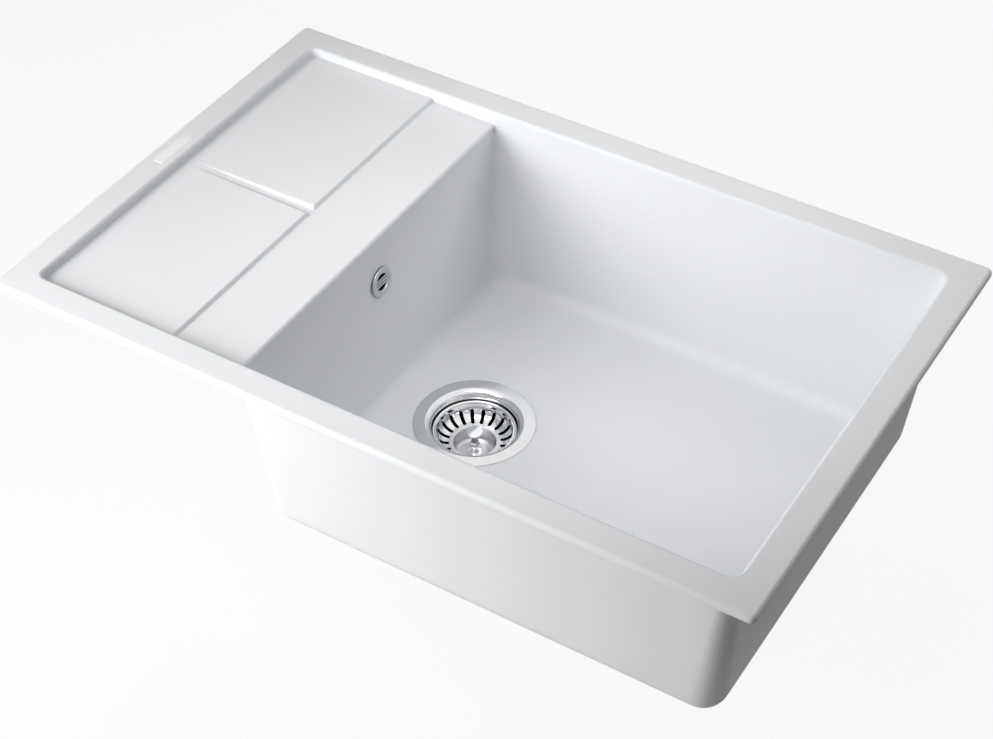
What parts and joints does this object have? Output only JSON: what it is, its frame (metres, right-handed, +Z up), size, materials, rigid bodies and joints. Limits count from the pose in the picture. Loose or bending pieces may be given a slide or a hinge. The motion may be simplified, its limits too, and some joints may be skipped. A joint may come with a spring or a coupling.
{
  "type": "kitchen sink with drainboard",
  "caption": "Inset kitchen sink moulded in matte composite, deep bowl beside a stepped drainboard, with a lift-out basket strainer waste and a piped overflow.",
  "frame": {"origin": "middle of the rim's underside, on the plane of the worktop's top", "axes": "+X along the sink towards the bowl's end, +Y to the back, +Z up out of the worktop"},
  "size_m": [0.78, 0.5, 0.3023],
  "materials": {
    "composite": "fine-grained matte white composite of quartz and resin",
    "steel": "satin stainless steel",
    "chrome": "polished",
    "plastic": "moulded white plastic, slightly satin",
    "rubber": "matte black rubber",
    "foam": "dark grey closed-cell foam",
    "brass": "turned brass"
  },
  "bodies": {
    "sink": {"sink_basin": "composite", "badge_plate": "steel", "rim_seal": "foam", "strainer_flange": "steel", "flange_gasket": "rubber", "centre_screw": "steel", "waste_body": "plastic", "waste_gasket": "rubber", "screw_insert": "brass", "overflow_rosette": "chrome", "rosette_washer": "rubber", "overflow_gasket": "rubber", "overflow_housing": "plastic", "overflow_pipe": "plastic", "coupling_nuts": "plastic", "coupling_seals": "rubber"},
    "post": {"locating_pin": "steel", "basket_stopper": "rubber", "stopper_washer": "steel"},
    "basket": {"strainer_basket": "chrome", "basket_knob": "chrome"}
  },
  "joints": [
    {"name": "basket_lift", "type": "slide", "parent": "sink", "child": "post", "axis": [0, 0, 1], "range_m": [0, 0.25]},
    {"name": "basket_turn", "type": "hinge", "parent": "post", "child": "basket", "pos_m": [-0.0229, 0, -0.2345], "axis": [0, 0, 1], "continuous": true}
  ]
}
